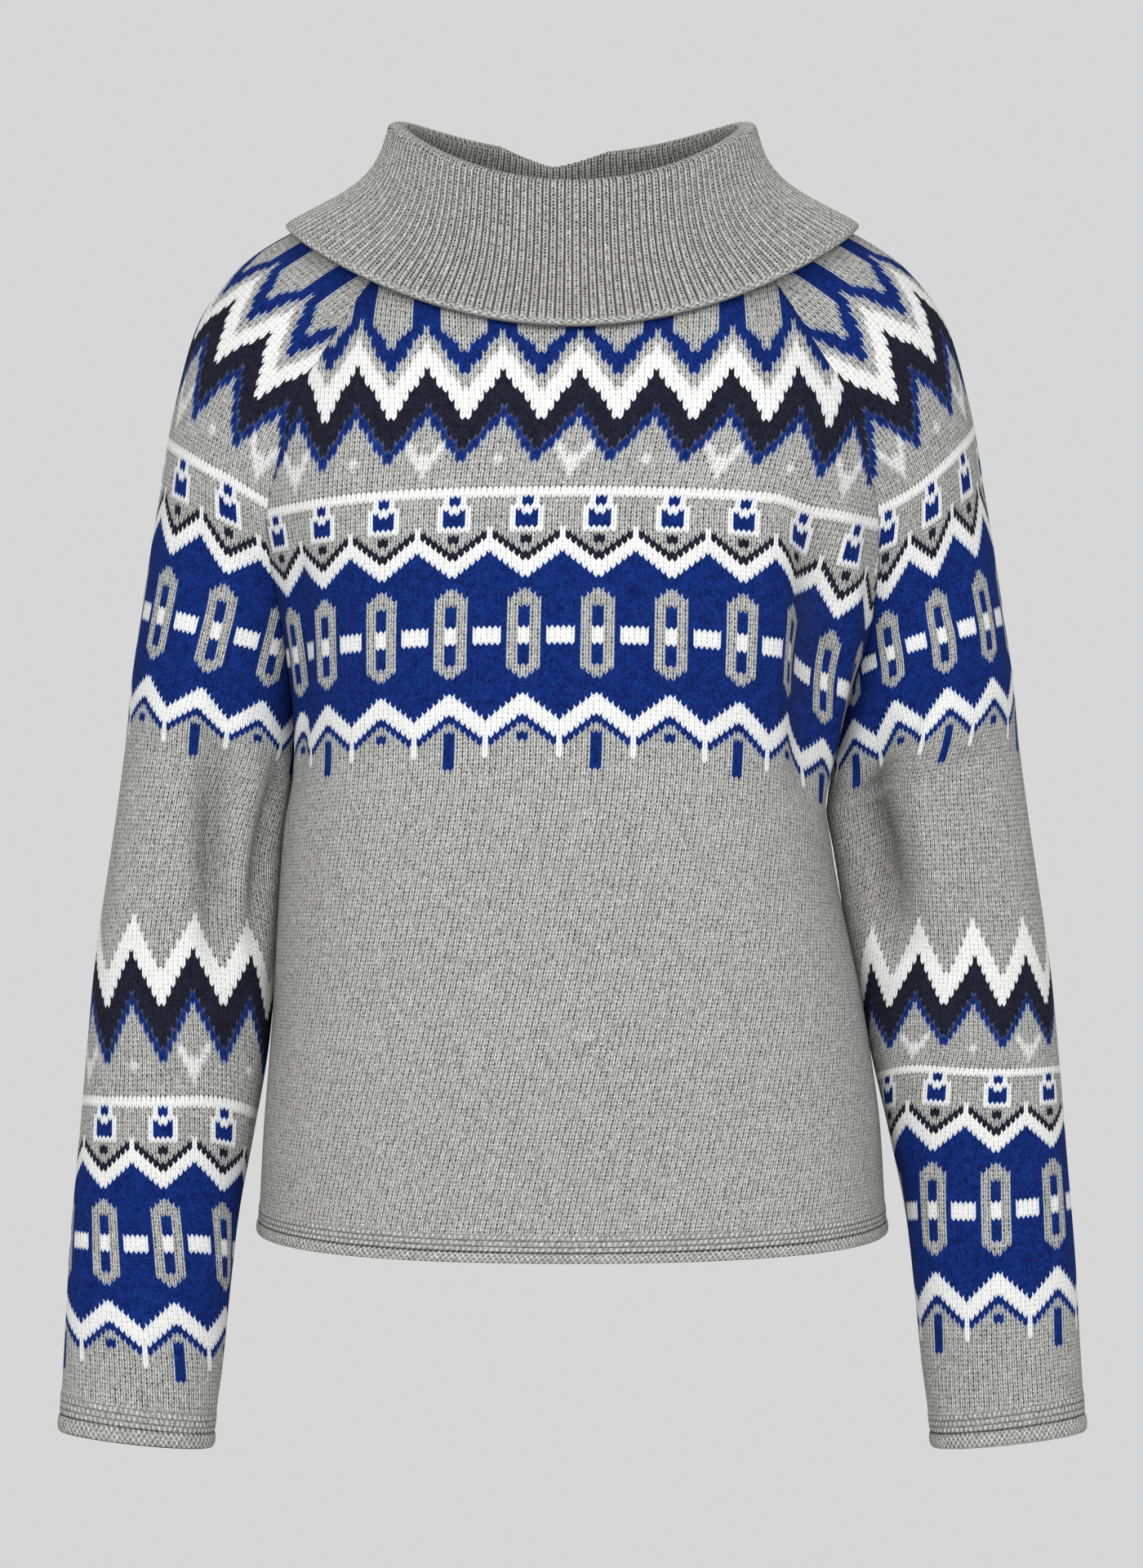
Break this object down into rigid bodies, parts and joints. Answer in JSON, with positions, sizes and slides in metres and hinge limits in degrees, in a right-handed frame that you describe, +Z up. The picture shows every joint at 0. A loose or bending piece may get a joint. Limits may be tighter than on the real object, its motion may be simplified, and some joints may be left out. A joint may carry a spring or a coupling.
{
  "type": "nordic yoke sweater",
  "caption": "Long-sleeved knitted jumper with a wide folded ribbed collar, raglan sleeves and banded nordic pattern on yoke and forearms.",
  "frame": {"origin": "middle of the neck seam at shoulder height, where the wearer's neck and shoulders hold the garment", "axes": "+Z up along the body, the front faces -Y, the wearer's right arm is towards -X"},
  "size_m": [0.569, 0.253, 0.7369],
  "materials": {
    "grey_marl_knit": "matte",
    "patterned_knit": "matte",
    "ribbed_knit": "matte"
  },
  "bodies": {
    "root": {"front": "grey_marl_knit", "back": "grey_marl_knit", "sleeve_right": "patterned_knit", "sleeve_left": "patterned_knit", "collar": "ribbed_knit"}
  },
  "joints": []
}
